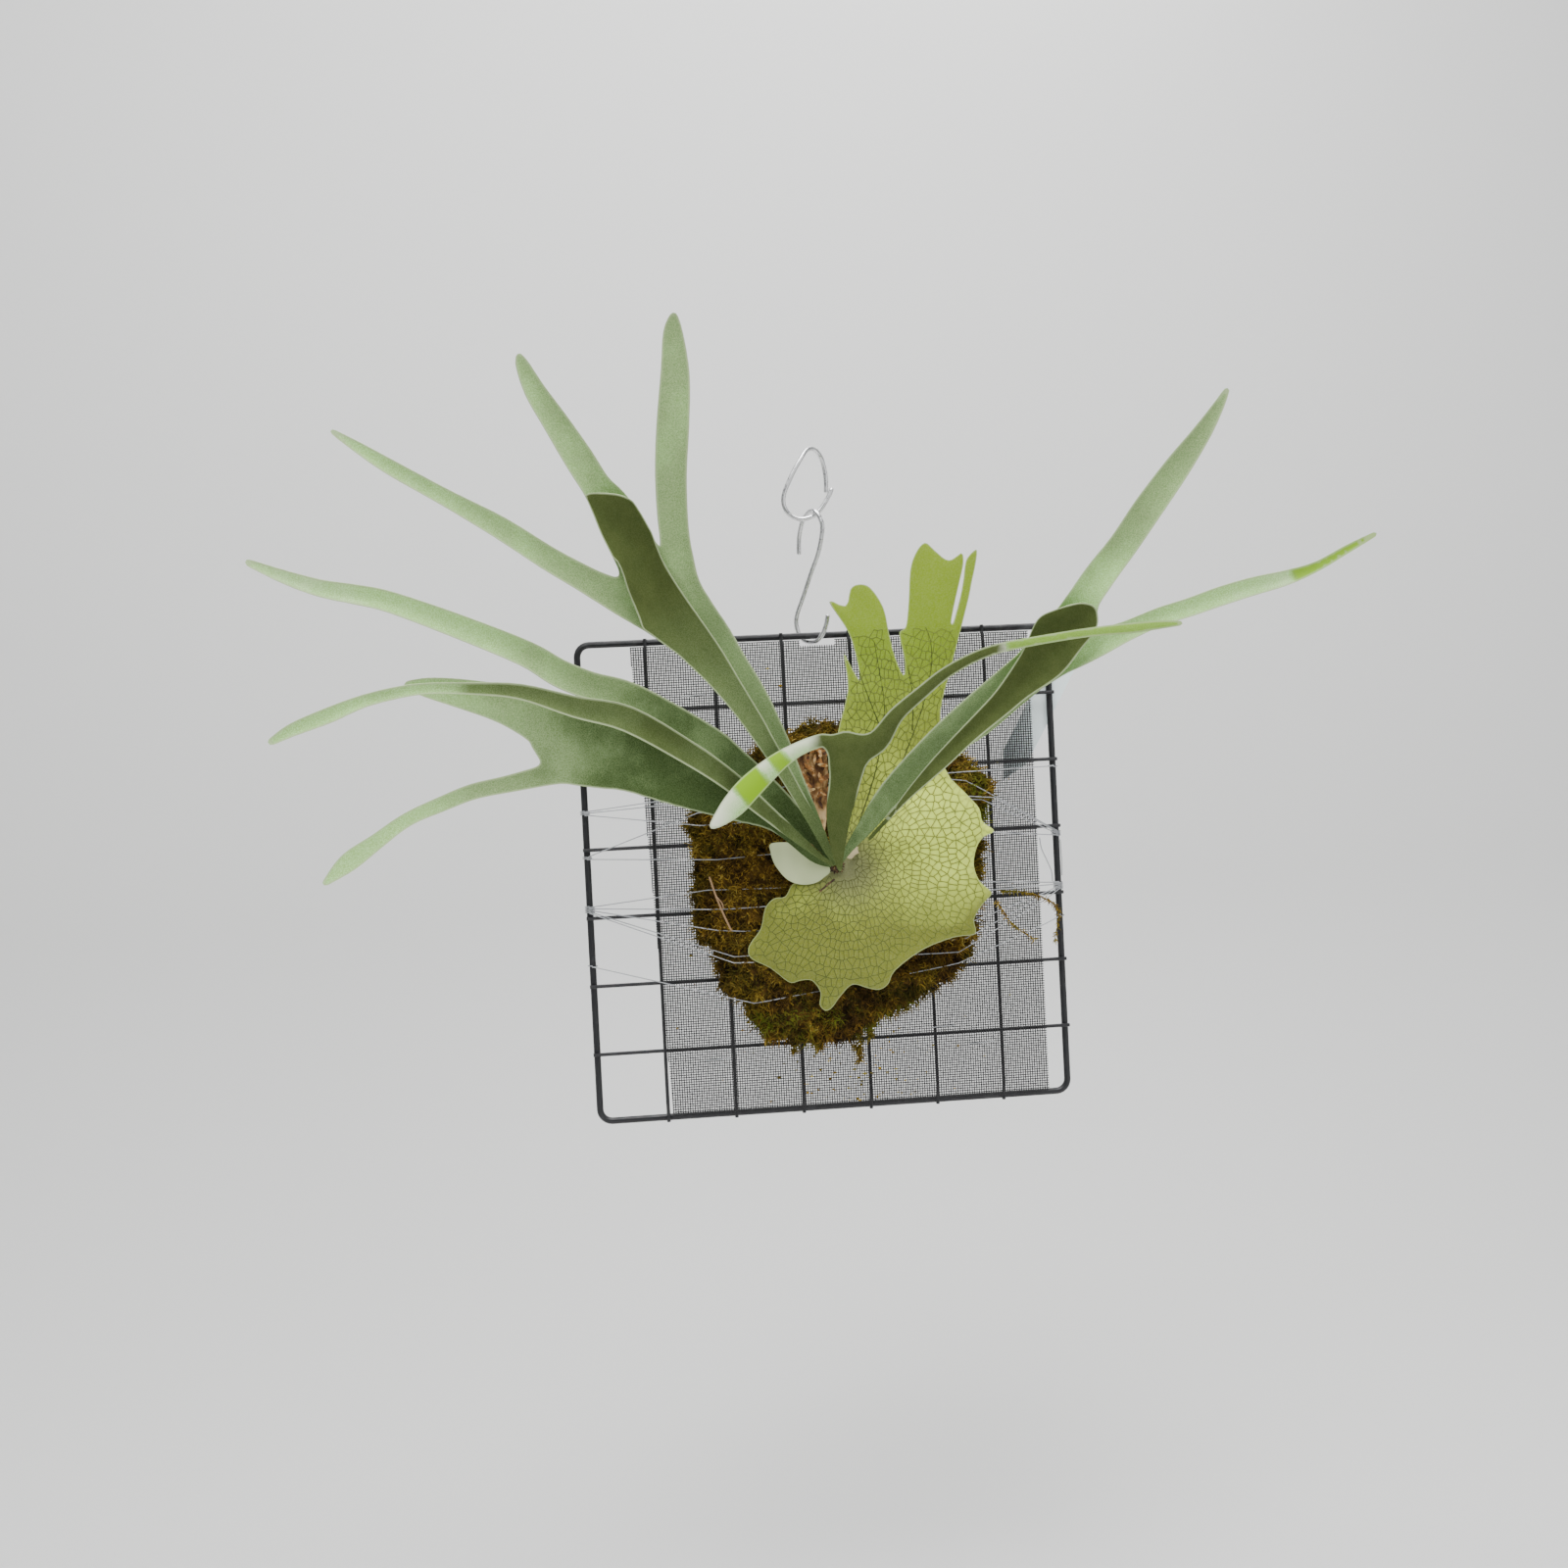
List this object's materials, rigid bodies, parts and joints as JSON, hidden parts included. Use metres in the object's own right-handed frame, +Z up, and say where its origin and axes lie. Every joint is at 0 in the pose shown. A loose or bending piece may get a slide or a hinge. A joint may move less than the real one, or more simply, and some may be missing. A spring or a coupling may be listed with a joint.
{
  "type": "mounted staghorn fern",
  "caption": "Staghorn fern tied with clear line onto a moss pad on a black wire grid panel, hung from a rail by two wire hooks, with a blank plant label.",
  "frame": {"origin": "inside the top of the rail hook's upper bend, where the part hangs from its rail", "axes": "+X to the viewer's right when the fern is seen from the front, +Y from the fern back to the panel, +Z up"},
  "size_m": [0.7147, 0.1837, 0.5484],
  "materials": {
    "black_coat": "satin powder coat",
    "mesh": "matte woven thread",
    "zinc": "bright galvanised",
    "frond": "felted leaf",
    "shield": "matte leaf with dark veins",
    "dry": "dry leaf",
    "moss": "loose fibres",
    "bud": "scaly",
    "line": "clear monofilament",
    "label": "satin"
  },
  "bodies": {
    "rail_hook": {"rail_hook": "zinc"},
    "s_hook": {"s_hook": "zinc"},
    "panel": {"dry_shield_frond": "dry", "fertile_frond_left": "frond", "fertile_frond_left_folded": "frond", "fertile_frond_lower_left": "frond", "fertile_frond_middle": "frond", "fertile_frond_right": "frond", "fertile_frond_upper_left": "frond", "horizontal_wire_1": "black_coat", "horizontal_wire_2": "black_coat", "horizontal_wire_3": "black_coat", "horizontal_wire_4": "black_coat", "horizontal_wire_5": "black_coat", "horizontal_wire_6": "black_coat", "line_run_right": "line", "line_strand_1": "line", "line_strand_10": "line", "line_strand_11": "line", "line_strand_2": "line", "line_strand_3": "line", "line_strand_4": "line", "line_strand_5": "line", "line_strand_6": "line", "line_strand_7": "line", "line_strand_8": "line", "line_strand_9": "line", "line_tail": "line", "line_wrap_left_1": "line", "line_wrap_left_2": "line", "line_wrap_left_3": "line", "line_wrap_left_4": "line", "line_wrap_right_1": "line", "line_wrap_right_2": "line", "line_wrap_right_3": "line", "line_wrap_right_4": "line", "main_shield_frond": "shield", "mesh_sheet": "mesh", "mesh_tie_1": "line", "mesh_tie_2": "line", "mesh_tie_3": "line", "mesh_tie_4": "line", "moss_pad": "moss", "moss_strand_1": "moss", "moss_strand_2": "moss", "moss_strand_3": "moss", "old_frond_stalk": "bud", "perimeter_rod": "black_coat", "rhizome_bud": "bud", "root_ball": "bud", "upright_wire_1": "black_coat", "upright_wire_2": "black_coat", "upright_wire_3": "black_coat", "upright_wire_4": "black_coat", "upright_wire_5": "black_coat", "upright_wire_6": "black_coat", "young_shield_frond": "shield"},
    "plant_label": {"plant_label": "label"}
  },
  "joints": [
    {"name": "s_hook_swing", "type": "hinge", "parent": "rail_hook", "child": "s_hook", "pos_m": [-0.005, -0.012, -0.0516], "axis": [1, 0, 0], "range_deg": [-20, 20]},
    {"name": "panel_swing", "type": "hinge", "parent": "s_hook", "child": "panel", "pos_m": [-0.008, -0.012, -0.1412], "axis": [1, 0, 0], "range_deg": [-20, 20]},
    {"name": "label_slide", "type": "slide", "parent": "panel", "child": "plant_label", "axis": [0.5, 0, 0.866], "range_m": [0, 0.11]}
  ]
}
